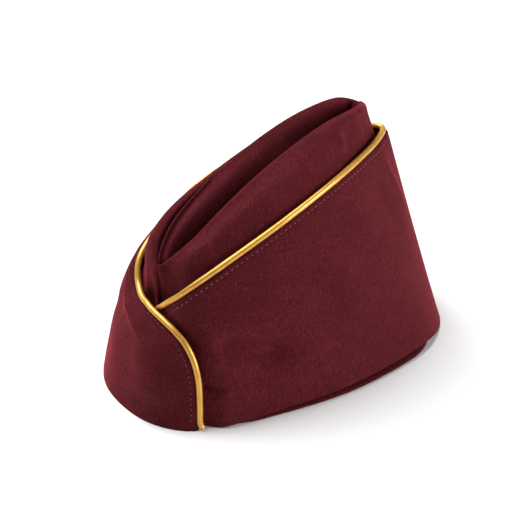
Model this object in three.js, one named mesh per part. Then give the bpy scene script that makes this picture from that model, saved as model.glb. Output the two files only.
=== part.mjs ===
// Side cap: a soft wool cap that stands open on its rim, with a crown whose top is sunk into a pleat,
// a turned-up curtain that laps over itself at the front, and a corded piping along the curtain's edge.
//
// Frame: millimetres, +Z up, the front towards -Y and the wearer's left towards +X.
// The origin is the middle of the rim's footprint, on the surface that the cap stands on.
import * as THREE from "three";

// Driving dimensions
const CROWN_CLOTH = 1.6; // wall of the crown panels and of the gusset between them
const CURTAIN_CLOTH = 2.2; // wall of the curtain, two layers pressed together
const PIPING_DIAMETER = 3.4;
const SEAM_GAP = 0.3; // between pieces that are sewn to each other
const PIPING_GAP = 0.75; // between the piping and the cloth edge that it is sewn to
const RIM_CLEARANCE = 0.6; // curtain's lower fold above the hem of the crown
const LEFT_LIFT = 1.4; // how much further that fold rises along the left side
const HEM_INSET = 1.8; // crown's hem inside the middle of the curtain's wall
const LAP_INSET = 3.9; // how far the left curtain and the crown are set in under the flap
const LAP = { start: -0.2, full: -0.09, fade: 0.05, end: 0.17 }; // turns from the front, then past the flap
const LEFT_START = -0.05; // turn of the left curtain's front end, under the flap
const PIPING_START = 0.03; // turn where the piping starts, under the flap
const PIPING_END = 0.02; // share of the flap's height where the piping ends above the floor
const GROOVE_WIDTH = 5; // from the right ridge to the bottom of the groove outside it
const PUFF_AT = 0.5; // share of the way from the curtain's edge to the ridge where the crown swells most
const PLEAT_WALL_AT = 0.45; // share of the way down the pleat of the left panel's middle control point
const LOBE_RISE = 0.08; // how far the gusset's middle swells up, as a share of the pleat's depth

// Sections of the left half from the front seam to the back seam, which the right half mirrors.
// rim: middle of the curtain's wall where it stands, as [out, along]
// edge: centre of the piping on the curtain's top edge, as [out, along, up]
// dip: how much lower the right edge lies than the left one
// belly: how far the curtain swells between its rim and its top edge
// ridge: crest of the crown beside its sunk top, as [out, along, up]
const SECTIONS = [
  { rim: [0, -104.4], edge: [0, -86.5, 57], dip: 0, belly: 2, ridge: [0, -80, 78.5] },
  { rim: [32, -98.2], edge: [15, -83, 64.7], dip: 4.7, belly: 3, ridge: [4, -73.5, 87] },
  { rim: [48.3, -80.4], edge: [25, -74.5, 75.7], dip: 4.7, belly: 4, ridge: [8.5, -62, 95] },
  { rim: [57.3, -50.5], edge: [32, -53.5, 88.3], dip: 6, belly: 3.5, ridge: [11, -44, 105.5] },
  { rim: [66.4, -1.3], edge: [35.5, -23, 101.2], dip: 4.2, belly: 1.5, ridge: [11.5, -22, 118] },
  { rim: [62.2, 50.8], edge: [31.5, 11.5, 110], dip: 5, belly: 0.5, ridge: [12, 1, 127.5] },
  { rim: [50, 80.3], edge: [21.5, 40.5, 112.6], dip: 2.6, belly: 0, ridge: [11, 25, 134] },
  { rim: [29.3, 97.5], edge: [10.5, 63.5, 113.3], dip: 0, belly: 0, ridge: [8.5, 48, 136.5] },
  { rim: [0, 104.4], edge: [0, 76, 114], dip: 0, belly: 0, ridge: [0, 58, 134.5] },
];

// The crown at the same sections.
// stand: distance from the centre of the piping to the crown inside it
// puff: how far the crown swells above the straight line from the curtain's edge to the ridge
// pleat: [in, back, down] from the left ridge to the bottom of the sunk top
// groove: depth of the dip outside the right ridge
const CROWN_SHAPE = [
  { stand: 6.5, puff: 2, pleat: [0, 9, 4], groove: 0.5 },
  { stand: 4, puff: 6, pleat: [1, 7, 9], groove: 3 },
  { stand: 3.5, puff: 8, pleat: [4, 4, 15], groove: 6 },
  { stand: 3, puff: 5.5, pleat: [7, 2, 21], groove: 5 },
  { stand: 3, puff: 3, pleat: [9, 0, 25], groove: 4 },
  { stand: 3, puff: 2.5, pleat: [9, 0, 27], groove: 3 },
  { stand: 4, puff: 2.5, pleat: [8, -1, 28], groove: 2 },
  { stand: 6, puff: 2, pleat: [6, -6, 26], groove: 1 },
  { stand: 8, puff: 1, pleat: [0, -13, 24], groove: 1 },
];

// Front edge of the flap, where the right curtain laps over the left one: for each share of the
// curtain's height, the turn that the flap reaches on the left side.
const FLAP_EDGE = [
  { height: 0, reach: 0.214 },
  { height: 0.2, reach: 0.22 },
  { height: 0.4, reach: 0.223 },
  { height: 0.55, reach: 0.213 },
  { height: 0.68, reach: 0.188 },
  { height: 0.78, reach: 0.15 },
  { height: 0.88, reach: 0.097 },
  { height: 0.95, reach: 0.05 },
  { height: 1, reach: 0.005 },
];

// Mesh steps
const CROWN_COLUMNS = 32; // from the front seam to the back seam
const GUSSET_COLUMNS = [4, 28]; // first and last, where the gusset is wide enough for its wall
const CROWN_HEIGHTS = [0, 0.4, 0.75, 1]; // shares of the curtain's height, of the crown's control points
const LEFT_STEPS = [2, 2, 1, 3, 4, 3, 2]; // rows between the control points of each crown piece
const GUSSET_STEPS = [3, 2];
const RIGHT_STEPS = [1, 3, 3, 1, 2, 2];
const CURTAIN_COLUMNS = 30; // round half of the cap
const FLAP_COLUMNS = 12; // from the front to the edge of the flap
const UNDERLAP_COLUMNS = 4; // of the left curtain under the flap
const CURTAIN_ROWS = [0, 0.06, 0.16, 0.3, 0.45, 0.6, 0.72, 0.82, 0.9, 0.96, 1];
const EDGE_POINTS = 40; // of the piping's route along each curtain
const FLAP_POINTS = 24; // of the piping's route down the flap
const PIPING_STEPS = 110;
const PIPING_SIDES = 8;
const TURN_STEP = 0.004; // for directions along a ring

const CLOTH_LOOK = { color: 0x5a1f26, roughness: 0.9, metalness: 0 };
const GOLD_LOOK = { color: 0xd9a93f, roughness: 0.4, metalness: 0.2 };
const UP = new THREE.Vector3(0, 0, 1);
const PIPING_REACH = PIPING_DIAMETER / 2 + PIPING_GAP; // from the piping's centre to the cloth edge

function evenly(from, to, steps) {
  return Array.from({ length: steps + 1 }, (_, i) => from + ((to - from) * i) / steps);
}

// A smooth closed line through one point of each section, round the left half and back round the right.
function ringThrough(pointOf) {
  const left = SECTIONS.map((row) => pointOf(row, 1));
  const right = SECTIONS.slice(1, -1).reverse().map((row) => pointOf(row, -1));
  return new THREE.CatmullRomCurve3([...left, ...right], true, "catmullrom", 0.5);
}

// A number of each row as a smooth function of the share of the way through the rows.
function columnAlong(rows, name) {
  const line = new THREE.SplineCurve(rows.map((row) => new THREE.Vector2(row[name], 0)));
  return (share) => line.getPoint(share).x;
}

const rimRing = ringThrough(({ rim: [out, along] }, side) => new THREE.Vector3(side * out, along, 0));
const ridgeRing = ringThrough(
  ({ ridge: [out, along, up] }, side) => new THREE.Vector3(side * out, along, up),
);
const edgeRing = ringThrough(({ edge: [out, along, up], dip }, side) => {
  const height = side > 0 ? up : up - dip;
  return new THREE.Vector3(side * out, along, height);
});
const pleatPoints = CROWN_SHAPE.map((row) => new THREE.Vector3(...row.pleat));
const pleatLine = new THREE.CatmullRomCurve3(pleatPoints, false, "catmullrom", 0.5);
const bellyAlong = columnAlong(SECTIONS, "belly");
const standAlong = columnAlong(CROWN_SHAPE, "stand");
const puffAlong = columnAlong(CROWN_SHAPE, "puff");
const grooveAlong = columnAlong(CROWN_SHAPE, "groove");
const flapReachAlong = columnAlong(FLAP_EDGE, "reach");

// Turn round the cap: 0 at the front, 1 at the back by the left side, -1 at the back by the right side.
function onRing(ring, turn) {
  return ring.getPoint((turn / 2 + 1) % 1);
}

function tangentAt(ring, turn) {
  return onRing(ring, turn + TURN_STEP).sub(onRing(ring, turn - TURN_STEP)).normalize();
}

function outwardAt(turn) {
  return tangentAt(rimRing, turn).cross(UP).normalize();
}

// Middle of the curtain's wall at a turn and at a share of the way from the rim to the top edge.
function curtainMiddle(turn, height) {
  const swell = bellyAlong(Math.abs(turn)) * Math.sin(Math.PI * height);
  return onRing(rimRing, turn)
    .lerp(onRing(edgeRing, turn), height)
    .addScaledVector(outwardAt(turn), swell);
}

function flapReach(height) {
  const last = FLAP_EDGE.length - 1;
  const row = Math.min(FLAP_EDGE.findLastIndex((point) => point.height <= height), last - 1);
  const span = FLAP_EDGE[row + 1].height - FLAP_EDGE[row].height;
  return flapReachAlong((row + (height - FLAP_EDGE[row].height) / span) / last);
}

// What lies under the flap is set in, and comes out again beside the flap's edge.
function lapInset(turn, height) {
  const { smoothstep } = THREE.MathUtils;
  const pastFlap = turn - flapReach(height);
  return LAP_INSET * (smoothstep(turn, LAP.start, LAP.full) - smoothstep(pastFlap, LAP.fade, LAP.end));
}

// Unit normals of a grid of points, pointing out of the cap.
function gridNormals(grid) {
  const lastColumn = grid.length - 1;
  const lastRow = grid[0].length - 1;
  return grid.map((column, i) =>
    column.map((_, j) => {
      const along = grid[Math.min(i + 1, lastColumn)][j].clone().sub(grid[Math.max(i - 1, 0)][j]);
      const up = column[Math.min(j + 1, lastRow)].clone().sub(column[Math.max(j - 1, 0)]);
      return along.cross(up).normalize();
    }),
  );
}

// Normals blended with their neighbours along each column, so that a wall stays open inside a tight crest.
function blendedNormals(normals) {
  return normals.map((column) =>
    column.map((normal, j) => {
      const before = column[Math.max(j - 1, 0)];
      const after = column[Math.min(j + 1, column.length - 1)];
      return normal.clone().add(before).add(after).normalize();
    }),
  );
}

// The same grid moved along its normals, with what stands on the floor kept there.
function offsetGrid(grid, normals, distance) {
  return grid.map((column, i) =>
    column.map((point, j) => {
      const moved = point.clone().addScaledVector(normals[i][j], distance);
      return point.z === 0 ? moved.setZ(0) : moved;
    }),
  );
}

// Keeps a column of points on its own side of the seam plane x = 0.
function offSeam(column, side) {
  return column.map((point) => point.clone().setX(side * Math.max(side * point.x, SEAM_GAP / 2)));
}

// A closed wall between two grids of points of the same size, the outer one and the inner one.
function wallBetween(outer, inner) {
  const columns = outer.length;
  const rows = outer[0].length;
  const positions = [...outer, ...inner].flat().flatMap((point) => point.toArray());
  const outerAt = (i, j) => i * rows + j;
  const innerAt = (i, j) => (columns + i) * rows + j;
  const faces = [];
  const quad = (a, b, c, d) => faces.push(a, b, c, a, c, d);
  const strip = (i, j, k, l) => quad(outerAt(i, j), innerAt(i, j), innerAt(k, l), outerAt(k, l));
  for (let i = 0; i + 1 < columns; i++) {
    for (let j = 0; j + 1 < rows; j++) {
      quad(outerAt(i, j), outerAt(i + 1, j), outerAt(i + 1, j + 1), outerAt(i, j + 1));
      quad(innerAt(i, j), innerAt(i, j + 1), innerAt(i + 1, j + 1), innerAt(i + 1, j));
    }
    strip(i, 0, i + 1, 0);
    strip(i + 1, rows - 1, i, rows - 1);
  }
  for (let j = 0; j + 1 < rows; j++) {
    strip(0, j + 1, 0, j);
    strip(columns - 1, j, columns - 1, j + 1);
  }
  return new THREE.BufferGeometry()
    .setAttribute("position", new THREE.Float32BufferAttribute(positions, 3))
    .setIndex(faces);
}

// Control points of one side of the crown at a share of the way from front to back, hem to ridge.
// Behind the curtain the crown follows the curtain's wall, and leaves it towards the curtain's edge.
function crownSide(share, side) {
  const turn = side * share;
  const outward = outwardAt(turn);
  const behindCurtain = CROWN_HEIGHTS.map((height) => {
    const stand = THREE.MathUtils.lerp(HEM_INSET, standAlong(share), height) + lapInset(turn, height);
    return curtainMiddle(turn, height).addScaledVector(outward, -stand);
  });
  const ridge = onRing(ridgeRing, turn);
  const swell = outward.add(UP).normalize();
  const puffed = behindCurtain.at(-1).clone().lerp(ridge, PUFF_AT).addScaledVector(swell, puffAlong(share));
  return { behindCurtain, puffed, ridge };
}

// Control points of the crown's whole section at a share of the way from front to back: up the left side,
// over its ridge, down into the pleat, up the gusset to the right ridge and down the right side.
function crownSection(share) {
  const left = crownSide(share, 1);
  const right = crownSide(share, -1);
  const pleat = pleatLine.getPoint(share);
  const fold = left.ridge.clone().add(new THREE.Vector3(-pleat.x, pleat.y, -pleat.z));
  const wall = left.ridge.clone().lerp(fold, PLEAT_WALL_AT);
  const lobe = fold.clone().lerp(right.ridge, 0.5).addScaledVector(UP, LOBE_RISE * pleat.z);
  const reach = Math.max(right.ridge.distanceTo(right.puffed), GROOVE_WIDTH);
  const groove = right.ridge.clone().lerp(right.puffed, GROOVE_WIDTH / reach);
  groove.addScaledVector(UP, -grooveAlong(share));
  return {
    left: [...left.behindCurtain, left.puffed, left.ridge, wall, fold],
    gusset: [fold, lobe, right.ridge],
    right: [right.ridge, groove, right.puffed, ...right.behindCurtain.toReversed()],
  };
}

// Smooth points along a line of control points, with a number of steps between each two of them.
function smoothPoints(controls, steps) {
  const line = new THREE.CatmullRomCurve3(controls);
  const shares = steps.flatMap((count, k) => evenly(k, k + 1, count).slice(0, -1));
  return [...shares.map((share) => line.getPoint(share / steps.length)), controls.at(-1).clone()];
}

// Pulls a piece's end row back by half a seam gap, towards the row next to it.
function pulledBack(column, end, next) {
  const points = column.map((point) => point.clone());
  const inwards = points.at(next).clone().sub(points.at(end)).normalize();
  points.at(end).addScaledVector(inwards, SEAM_GAP / 2);
  return points;
}

function crownPieces() {
  const outer = evenly(0, 1, CROWN_COLUMNS).map((share) => {
    const section = crownSection(share);
    const left = smoothPoints(section.left, LEFT_STEPS);
    const gusset = smoothPoints(section.gusset, GUSSET_STEPS);
    const right = smoothPoints(section.right, RIGHT_STEPS);
    return [...left, ...gusset.slice(1), ...right.slice(1)];
  });
  const inner = offsetGrid(outer, blendedNormals(gridNormals(outer)), -CROWN_CLOTH);
  const total = (steps) => steps.reduce((sum, count) => sum + count, 0);
  const foldRow = total(LEFT_STEPS);
  const ridgeRow = foldRow + total(GUSSET_STEPS);
  const lastRow = ridgeRow + total(RIGHT_STEPS);

  const cut = (grid, { from, to, side, columns: [first, last] = [0, CROWN_COLUMNS] }) =>
    grid.slice(first, last + 1).map((column, i) => {
      let points = column.slice(from, to + 1);
      if (from > 0) points = pulledBack(points, 0, 1);
      if (to < lastRow) points = pulledBack(points, -1, -2);
      const atSeam = first + i === 0 || first + i === CROWN_COLUMNS;
      return atSeam ? offSeam(points, side) : points;
    });
  const piece = (range) => wallBetween(cut(outer, range), cut(inner, range));
  return {
    left: piece({ from: 0, to: foldRow, side: 1 }),
    gusset: piece({ from: foldRow, to: ridgeRow, columns: GUSSET_COLUMNS }),
    right: piece({ from: ridgeRow, to: lastRow, side: -1 }),
  };
}

// A point of a curtain's middle, whose top row stays clear of the piping.
function curtainPoint(turn, row, inset, lift) {
  const ruling = onRing(edgeRing, turn).sub(onRing(rimRing, turn));
  const height = row * (1 - PIPING_REACH / ruling.cross(tangentAt(edgeRing, turn)).length());
  const point = curtainMiddle(turn, height).addScaledVector(outwardAt(turn), -inset(turn, row));
  point.z += (1 - row) * lift(turn);
  return point;
}

function curtainWall(grid, seamColumn, side) {
  const normals = gridNormals(grid);
  const face = (distance) => {
    const moved = offsetGrid(grid, normals, distance);
    return moved.map((column, i) => (i === seamColumn ? offSeam(column, side) : column));
  };
  return wallBetween(face(CURTAIN_CLOTH / 2), face(-CURTAIN_CLOTH / 2));
}

// A grid of curtain points, whose turns may differ from row to row.
function curtainGrid(turnsAt, inset, lift) {
  const rows = CURTAIN_ROWS.map((row) => turnsAt(row).map((turn) => curtainPoint(turn, row, inset, lift)));
  return rows[0].map((_, i) => rows.map((row) => row[i]));
}

function leftCurtain() {
  const lift = (turn) => RIM_CLEARANCE + LEFT_LIFT * Math.sin(Math.PI * turn) ** 2;
  const turnsAt = (row) => [
    ...evenly(LEFT_START, flapReach(row), UNDERLAP_COLUMNS).slice(0, -1),
    ...evenly(flapReach(row), 1, CURTAIN_COLUMNS),
  ];
  return curtainWall(curtainGrid(turnsAt, lapInset, lift), UNDERLAP_COLUMNS + CURTAIN_COLUMNS, 1);
}

// Turn where the flap's cloth ends, short of its piping.
function flapClothEnd(height) {
  const reach = flapReach(height);
  const stepLength = curtainMiddle(reach + TURN_STEP, height).distanceTo(curtainMiddle(reach, height));
  return reach - (PIPING_REACH * TURN_STEP) / stepLength;
}

function rightCurtain() {
  const turnsAt = (row) => [
    ...evenly(-1, LAP.full, CURTAIN_COLUMNS).slice(0, -1),
    ...evenly(LAP.full, flapClothEnd(row), FLAP_COLUMNS),
  ];
  return curtainWall(curtainGrid(turnsAt, () => 0, () => RIM_CLEARANCE), 0, -1);
}

// The piping runs from under the flap along the left edge, round the back, along the right edge,
// over the front and down the edge of the flap.
function pipingTube() {
  const leftEdge = evenly(PIPING_START, 1, EDGE_POINTS).map((turn) =>
    curtainMiddle(turn, 1).addScaledVector(outwardAt(turn), -lapInset(turn, 1)),
  );
  const rightEdge = evenly(-1, 0, EDGE_POINTS).slice(1).map((turn) => curtainMiddle(turn, 1));
  const flapHeights = evenly(1, PIPING_END, FLAP_POINTS).slice(1);
  const flapEdge = flapHeights.map((height) => curtainMiddle(flapReach(height), height));
  const section = new THREE.Shape().absarc(0, 0, PIPING_DIAMETER / 2, 0, 2 * Math.PI);
  return new THREE.ExtrudeGeometry(section, {
    steps: PIPING_STEPS,
    curveSegments: PIPING_SIDES / 2,
    extrudePath: new THREE.CatmullRomCurve3([...leftEdge, ...rightEdge, ...flapEdge]),
  });
}

const cap = new THREE.Group();
function add(name, geometry, look) {
  const mesh = new THREE.Mesh(geometry, new THREE.MeshStandardMaterial(look));
  mesh.name = name;
  cap.add(mesh);
}
const crown = crownPieces();
add("crown_left_panel", crown.left, CLOTH_LOOK);
add("crown_right_panel", crown.right, CLOTH_LOOK);
add("crown_top_gusset", crown.gusset, CLOTH_LOOK);
add("curtain_left", leftCurtain(), CLOTH_LOOK);
add("curtain_right", rightCurtain(), CLOTH_LOOK);
add("piping", pipingTube(), GOLD_LOOK);

export default cap;
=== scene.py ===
import math

import bpy
import numpy as np
from mathutils import Matrix


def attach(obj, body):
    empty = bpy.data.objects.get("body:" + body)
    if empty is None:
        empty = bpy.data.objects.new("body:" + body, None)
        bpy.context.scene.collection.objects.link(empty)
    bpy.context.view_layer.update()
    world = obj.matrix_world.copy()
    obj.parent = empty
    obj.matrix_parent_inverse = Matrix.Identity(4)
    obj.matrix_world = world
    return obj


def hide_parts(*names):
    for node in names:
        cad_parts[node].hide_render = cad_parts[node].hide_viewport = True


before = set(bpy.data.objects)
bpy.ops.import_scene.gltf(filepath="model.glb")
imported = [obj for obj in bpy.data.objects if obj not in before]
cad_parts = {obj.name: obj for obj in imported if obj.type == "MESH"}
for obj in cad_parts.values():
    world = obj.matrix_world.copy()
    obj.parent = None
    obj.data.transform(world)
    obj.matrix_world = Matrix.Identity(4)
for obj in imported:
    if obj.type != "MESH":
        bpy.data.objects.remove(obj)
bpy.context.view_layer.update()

# Side cap in burgundy wool twill with gold piping, standing open on its rim.
# Sizes and places are in millimetres in the part's frame, and become metres where a mesh is made.
# A turn runs round the cap: 0 at the front, 1 at the back by the left side, -1 at the back by the right.
# A height runs up the curtain, from 0 at its rim to 1 at its top edge.
MM = 0.001
UP = np.array([0.0, 0.0, 1.0])
BODY = "root"
UV_NAME = "cloth"

# Cloth and cord
CROWN_CLOTH = 1.4
CURTAIN_CLOTH = 2.2
PIPING_RADIUS = 1.65
HEM_INSET = 3.4  # crown inside the middle of the curtain's wall, at its hem
HEM_LIP = {"inset": -1, "behind": 6}  # the same under the left curtain's lifted edge, at a lip and above it
LIP_TOP = 0.014  # height of that lip
HEM_TOP = 0.1  # height up to which the crown changes for it
LIP_TURNS = {"start": 0.24, "full": 0.37, "fade": 0.62, "end": 0.74}  # where the lip comes out
HOLLOW = 2.5  # how far the crown stays clear of the curtain halfway up
RIM_LIFT = 0.2  # curtain's lower fold above the floor
LEFT_LIFT = 5.6  # how much further it rises along the left side
LIFT_TURNS = {"start": 0.12, "full": 0.6, "fade": 0.62, "end": 0.8}  # where it rises
LAP_INSET = {"low": 4.4, "top": 3.2}  # how far the left curtain and the crown are set in under the flap
# The lap starts and is full at these turns, and fades and ends this far past the flap's edge
LAP = {"start": -0.1, "full": -0.04, "fade": 0.01, "low_end": 0.07, "top_end": 0.14}
LAP_TOP_FROM = 0.75  # height where the inset starts to change from low to top
LAP_END_POWER = 4  # how late its end changes with height
LAP_DROP = 1.3  # how far the left edge is lowered for each millimetre that it is set in
LEFT_START = -0.03  # turn of the left curtain's front end, under the flap
PIPING_START = 0.038  # turn where the piping starts, under the flap
PIPING_END = 0.012  # height where the piping ends on the flap
PIPING_HOOK = {"height": 0.03, "reach": 0.009}  # its lower end turns aside
SEAM_GAP = 0.2  # between the two halves at the front and back seams

# Sections from the front seam to the back seam, in the left half and mirrored in the right half.
# rim [out, along]; edge: centre of the piping [out, along, up]; dip: how much lower the right edge lies;
# belly: swell of the curtain; flare: how far its top stands outside the piping; ridge: crest of the left
# panel, welt: crest of the gusset on the right
SECTIONS = [
    {"rim": [0, -105.8], "edge": [0, -87.3, 57.6], "dip": 0, "belly": 2, "flare": 0,
     "ridge": [0, -79, 78.4], "welt": [0, -79, 78.4]},
    {"rim": [32, -98.8], "edge": [15, -83, 64.7], "dip": 4.7, "belly": 3, "flare": 0,
     "ridge": [4, -73.5, 83.4], "welt": [4, -73.5, 87.5]},
    {"rim": [48.5, -80.6], "edge": [25, -74.5, 75.7], "dip": 4.7, "belly": 4, "flare": 0,
     "ridge": [8.5, -62, 92.6], "welt": [8.5, -62, 96.5]},
    {"rim": [57.2, -50.5], "edge": [32, -53.5, 88.3], "dip": 6, "belly": 3.5, "flare": 0,
     "ridge": [11, -44, 106], "welt": [11, -44, 107]},
    {"rim": [65.7, -1.3], "edge": [35.5, -23, 101.2], "dip": 4.2, "belly": 1.5, "flare": 0,
     "ridge": [11.5, -22, 118.2], "welt": [11.5, -22, 118.6]},
    {"rim": [62.2, 50.9], "edge": [31.5, 11.5, 110], "dip": 5, "belly": 0.7, "flare": 0,
     "ridge": [12, 1, 128.3], "welt": [12, 1, 127.2]},
    {"rim": [50, 80.3], "edge": [21.5, 40.5, 112.6], "dip": 2.6, "belly": 1.5, "flare": 0.4,
     "ridge": [11, 25, 135], "welt": [11, 25, 133.6]},
    {"rim": [29, 97.3], "edge": [10.5, 63.5, 113.3], "dip": 0, "belly": 2.4, "flare": 1,
     "ridge": [8.5, 48, 137], "welt": [8.5, 48, 136.8]},
    {"rim": [0, 104.4], "edge": [0, 76, 114], "dip": 0, "belly": 2.6, "flare": 1.4,
     "ridge": [0, 58, 134.5], "welt": [0, 58, 134.5]},
]

# The crown at the same sections. stand: from the piping's centre in to the crown, left and right;
# puff: swell of the left panel below its ridge; crest: rounding of that ridge; pleat: [in, back, down] from
# the ridge to the bottom of the sunk top; fall, lobe and beside: [in, up] from the welt to the steep side of
# the gusset, its soft top and the crease along the welt
CROWN_SHAPE = [
    {"stand": [5.6, 4.2], "puff": 0.4, "crest": 1, "pleat": [0, 9, 3],
     "fall": [5.5, 0], "lobe": [2.5, 1], "beside": [1, 0]},
    {"stand": [7, 3.4], "puff": 2.5, "crest": 1.8, "pleat": [1.2, 4, 5],
     "fall": [5, -2.6], "lobe": [3.2, -1.2], "beside": [1.2, -1.8]},
    {"stand": [4.5, 4], "puff": 5.5, "crest": 3, "pleat": [5, 3, 17],
     "fall": [9.5, -8], "lobe": [5.5, -1.4], "beside": [1.4, -1.9]},
    {"stand": [3, 3], "puff": 6, "crest": 3.6, "pleat": [7.5, 1, 22],
     "fall": [12, -9], "lobe": [7, -1.8], "beside": [1.7, -1.2]},
    {"stand": [3, 3], "puff": 6, "crest": 4, "pleat": [9, 0, 26],
     "fall": [13, -11], "lobe": [7.5, -3], "beside": [2.2, -1]},
    {"stand": [3, 3], "puff": 5.5, "crest": 4, "pleat": [9, 0, 28],
     "fall": [13, -13], "lobe": [7, -4.5], "beside": [3, -1.5]},
    {"stand": [4, 4], "puff": 4.5, "crest": 4, "pleat": [8, -1, 28],
     "fall": [11, -15], "lobe": [6.5, -5.5], "beside": [3.5, -2]},
    {"stand": [6, 6], "puff": 3, "crest": 3.2, "pleat": [6, -6, 26],
     "fall": [8, -15], "lobe": [5.5, -6], "beside": [3.5, -2.2]},
    {"stand": [8, 8], "puff": 1, "crest": 2, "pleat": [0, -13, 24],
     "fall": [6, -14], "lobe": [3.5, -6], "beside": [1.6, -1.6]},
]

# Right of the welt at the same sections, as [out, up] from the welt: the bottom of the groove, the side of
# the roll beside it, the roll's top and its outer side
ROLL_SHAPE = [
    {"groove": [0.3, -0.9], "side": [0.4, -2.5], "top": [0.6, -4.5], "outer": [0.4, -10]},
    {"groove": [1.4, -9], "side": [2.6, -0.7], "top": [6.2, 0.2], "outer": [11, -7]},
    {"groove": [1.5, -10], "side": [2.7, 0], "top": [6.4, 1.1], "outer": [11.5, -4.5]},
    {"groove": [1.6, -9], "side": [3, -1.6], "top": [7, -1.7], "outer": [13, -8.5]},
    {"groove": [2.2, -5], "side": [3.8, -4.4], "top": [8, -6], "outer": [14, -12.5]},
    {"groove": [3.6, -3.6], "side": [6, -5.6], "top": [9, -8.5], "outer": [14, -14.5]},
    {"groove": [4.5, -3], "side": [7, -6], "top": [9, -9], "outer": [12, -14.5]},
    {"groove": [4, -3], "side": [6, -6], "top": [8, -9.5], "outer": [10, -14]},
    {"groove": [1.5, -1.2], "side": [3.2, -4], "top": [4.4, -7], "outer": [6, -11]},
]
CROWN_HEIGHTS = [0, 0.011, 0.018, 0.06, 0.4, 0.75, 1]  # of the crown's control points behind the curtain
PUFF_AT = 0.58  # share of the way from the curtain's edge to the ridge where the left panel swells most
CREST_OUT = [1, -0.2]  # [out, up] from the ridge to each side of it, for each millimetre of its crest
CREST_IN = [-0.9, -0.9]
PLEAT_WALL_AT = 0.45  # share of the way down the pleat of its middle control point

# The flap's front edge: the turn that it reaches on the left side, at each height
FLAP_HEIGHTS = [0, 0.2, 0.4, 0.55, 0.68, 0.78, 0.88, 0.95, 1]
FLAP_REACH = [0.214, 0.2205, 0.2235, 0.2135, 0.188, 0.147, 0.091, 0.043, 0]

# Soft folds. line: points of the fold as [turn, height] on a curtain, or as [turn, level] on the left
# panel, whose level runs from the curtain's edge to the ridge; rise: how far the cloth stands out;
# sharp: a pressed crease, not a soft swell
LEFT_FOLDS = [
    {"line": [[0.253, 0.58], [0.305, 0.537], [0.362, 0.45], [0.405, 0.343], [0.438, 0.22]],
     "width": 9, "rise": -6},
    {"line": [[0.235, 0.52], [0.27, 0.46], [0.3, 0.4]], "width": 6, "rise": 1.6},
    {"line": [[0.228, 0.34], [0.257, 0.275], [0.295, 0.22]], "width": 4.5, "rise": -3.4},
    {"line": [[0.14, 0.8], [0.19, 0.69], [0.225, 0.6], [0.24, 0.48]], "width": 5, "rise": -3.4},
    {"line": [[0.29, 0.66], [0.34, 0.61], [0.39, 0.53], [0.43, 0.44]], "width": 7, "rise": 1},
    {"line": [[0.44, 0.84], [0.485, 0.697], [0.513, 0.593], [0.52, 0.47], [0.518, 0.34]],
     "width": 8, "rise": -1.7},
    {"line": [[0.542, 0.76], [0.56, 0.6], [0.565, 0.45], [0.56, 0.3]], "width": 7, "rise": 1.2},
    {"line": [[0.64, 0.9], [0.655, 0.77], [0.668, 0.6]], "width": 7, "rise": 0.9},
    {"line": [[0.75, 0.92], [0.755, 0.8], [0.762, 0.7], [0.77, 0.55]], "width": 7, "rise": -0.9},
    {"line": [[0.85, 1], [0.845, 0.9], [0.845, 0.82], [0.851, 0.75], [0.858, 0.68], [0.866, 0.58]],
     "width": 4, "rise": 1.1, "sharp": True},
]
RIGHT_FOLDS = [
    {"line": [[-0.182, 0.787], [-0.131, 0.83], [-0.074, 0.833], [-0.026, 0.79], [0.013, 0.74],
              [0.047, 0.687], [0.09, 0.61]],
     "width": 7, "rise": 2.4, "sharp": True},
    {"line": [[0.03, 0.76], [0.065, 0.6], [0.085, 0.4], [0.09, 0.15]], "width": 14, "rise": 3.8},
    {"line": [[-0.38, 0.84], [-0.3, 0.77], [-0.23, 0.7], [-0.19, 0.6]], "width": 12, "rise": 1.2},
    {"line": [[-0.5, 0.9], [-0.33, 0.85], [-0.25, 0.82], [-0.12, 0.78]], "width": 10, "rise": 1.5},
    {"line": [[0.099, 0.64], [0.115, 0.4], [0.13, 0.12]], "width": 5, "rise": 0.7},
    {"line": [[0.16, 0.52], [0.165, 0.3], [0.165, 0.06]], "width": 4, "rise": -0.6},
    {"line": [[-0.13, -0.5], [-0.16, 0.6]], "width": 13, "rise": -1.7},
    {"line": [[0.07, -0.5], [0.07, 0.4]], "width": 12, "rise": 1.1},
    {"line": [[-0.5, 1], [-0.36, 0.97], [-0.28, 0.96], [-0.2, 0.92], [-0.11, 0.84]],
     "width": 9, "rise": 2.2},
    {"line": [[-0.4, 0.8], [-0.44, 0.2]], "width": 7, "rise": 1.3},
    {"line": [[-0.55, 0.85], [-0.5, 0.25]], "width": 8, "rise": -1.7},
    {"line": [[-0.68, 0.9], [-0.74, 0.35]], "width": 6, "rise": 1.5},
    {"line": [[-0.87, 0.92], [-0.88, 0.75], [-0.9, 0.5]], "width": 4, "rise": 1.2},
]
PANEL_FOLDS = [
    {"line": [[0.755, 0.65], [0.735, 0.4], [0.717, 0.1]], "width": 2.4, "rise": 0.6},
    {"line": [[0.72, 0.7], [0.68, 0.12]], "width": 3, "rise": -0.6},
    {"line": [[0.785, 0.6], [0.73, 0.05]], "width": 3, "rise": -0.6},
    {"line": [[0.83, 0.85], [0.815, 0]], "width": 3, "rise": 0.6},
    {"line": [[0.3, 0.8], [0.34, 0.05]], "width": 5, "rise": -0.6},
    {"line": [[0.5, 0.7], [0.46, 0.05]], "width": 6, "rise": 0.5},
]
FOLD_FADE = 0.3  # share of a fold's length over which it fades out at each end
CREASE_ROUNDING = 0.7  # millimetres, at the top of a pressed crease
FOLD_SCALE = [220, 100]  # millimetres of cloth for a whole turn and for a whole height
PANEL_SCALE = [160, 30]

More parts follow.
